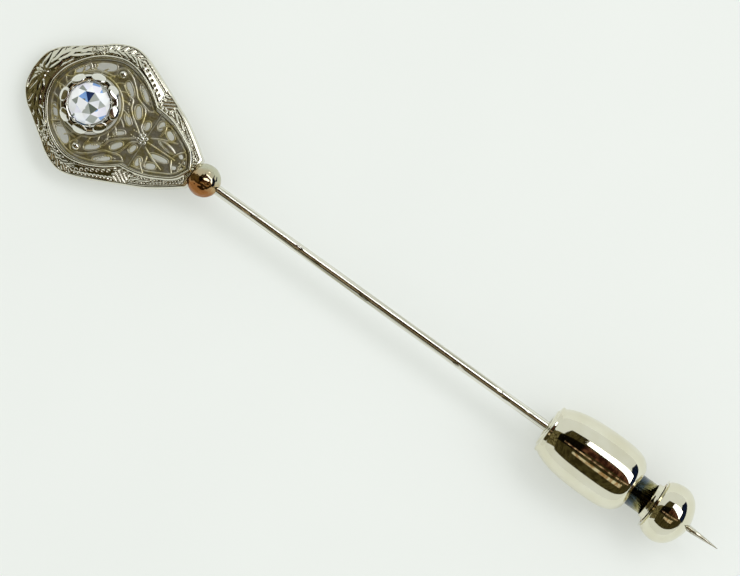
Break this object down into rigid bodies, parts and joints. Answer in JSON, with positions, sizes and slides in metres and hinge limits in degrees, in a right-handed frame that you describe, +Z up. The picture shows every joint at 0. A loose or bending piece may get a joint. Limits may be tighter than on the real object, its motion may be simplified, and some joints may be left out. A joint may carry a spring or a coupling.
{
  "type": "stick pin",
  "caption": "Short dress pin with a pierced filigree head, a brilliant-cut stone, a straight pointed stem and a sliding ball-lock clutch with a pull knob.",
  "frame": {"origin": "on the ground under the stem's axis, half way along the whole pin, which is the bottom centre of its box to within 0.3 mm", "axes": "+X along the stem from the head to the point, +Z up out of the head's face, +Y across the head"},
  "size_m": [0.0636, 0.011, 0.0054],
  "materials": {
    "engraved_white_gold": "hand-engraved, satin with bright cuts",
    "filigree_white_gold": "cast filigree, softly polished, darkened in the recesses",
    "bright_cut_white_gold": "bright-cut, mirror facets",
    "clear_stone": "brilliant-cut, polished facets",
    "polished_boss": "polished ball",
    "drawn_wire": "drawn wire, fine lines along it",
    "plated_shell": "nickel-plated brass, polished",
    "turned_brass": "turned, unplated",
    "spring_steel": "drawn spring wire",
    "hard_steel": "ground balls",
    "dark_sleeve": "tarnished plating, nearly black near the barrel"
  },
  "bodies": {
    "pin": {"border_frame": "engraved_white_gold", "scroll_gallery": "filigree_white_gold", "palmette": "filigree_white_gold", "collet": "engraved_white_gold", "illusion_plate": "bright_cut_white_gold", "stone": "clear_stone", "junction_boss": "polished_boss", "rosette_bead": "bright_cut_white_gold", "scroll_bead_left": "bright_cut_white_gold", "scroll_bead_right": "bright_cut_white_gold", "pin_stem": "drawn_wire"},
    "clutch_carrier": {"entry_eyelet": "turned_brass"},
    "clutch_case": {"clutch_barrel": "plated_shell", "cone_seat": "turned_brass", "end_collar": "turned_brass", "return_spring": "spring_steel"},
    "pull_carrier": {"thrust_washer": "turned_brass"},
    "plunger": {"ball_cage": "dark_sleeve", "neck_ferrule": "plated_shell", "knob_back_plate": "turned_brass", "release_knob": "plated_shell"},
    "grip_ball_1": {"lock_ball_1": "hard_steel"},
    "grip_ball_2": {"lock_ball_2": "hard_steel"},
    "grip_ball_3": {"lock_ball_3": "hard_steel"}
  },
  "joints": [
    {"name": "clutch_slide", "type": "slide", "parent": "pin", "child": "clutch_carrier", "axis": [1, 0, 0], "range_m": [-0.03, 0.017]},
    {"name": "clutch_spin", "type": "hinge", "parent": "clutch_carrier", "child": "clutch_case", "pos_m": [0.02, 0, 0.00271], "axis": [1, 0, 0], "continuous": true},
    {"name": "knob_pull", "type": "slide", "parent": "clutch_case", "child": "pull_carrier", "axis": [1, 0, 0], "range_m": [0, 0.0008], "stiffness_N_per_m": 900, "springref_m": -0.0012, "deforming": ["return_spring"]},
    {"name": "knob_spin", "type": "hinge", "parent": "pull_carrier", "child": "plunger", "pos_m": [0.0275, 0, 0.00271], "axis": [1, 0, 0], "continuous": true},
    {"name": "ball_1_spread", "type": "slide", "parent": "plunger", "child": "grip_ball_1", "axis": [0, 0, -1], "range_m": [0, 0.00022]},
    {"name": "ball_2_spread", "type": "slide", "parent": "plunger", "child": "grip_ball_2", "axis": [0, 0.866, 0.5], "range_m": [0, 0.00022]},
    {"name": "ball_3_spread", "type": "slide", "parent": "plunger", "child": "grip_ball_3", "axis": [0, -0.866, 0.5], "range_m": [0, 0.00022]}
  ],
  "couplings": [
    {"joint": "ball_1_spread", "follows": "knob_pull", "ratio": 0.2679},
    {"joint": "ball_2_spread", "follows": "knob_pull", "ratio": 0.2679},
    {"joint": "ball_3_spread", "follows": "knob_pull", "ratio": 0.2679}
  ]
}
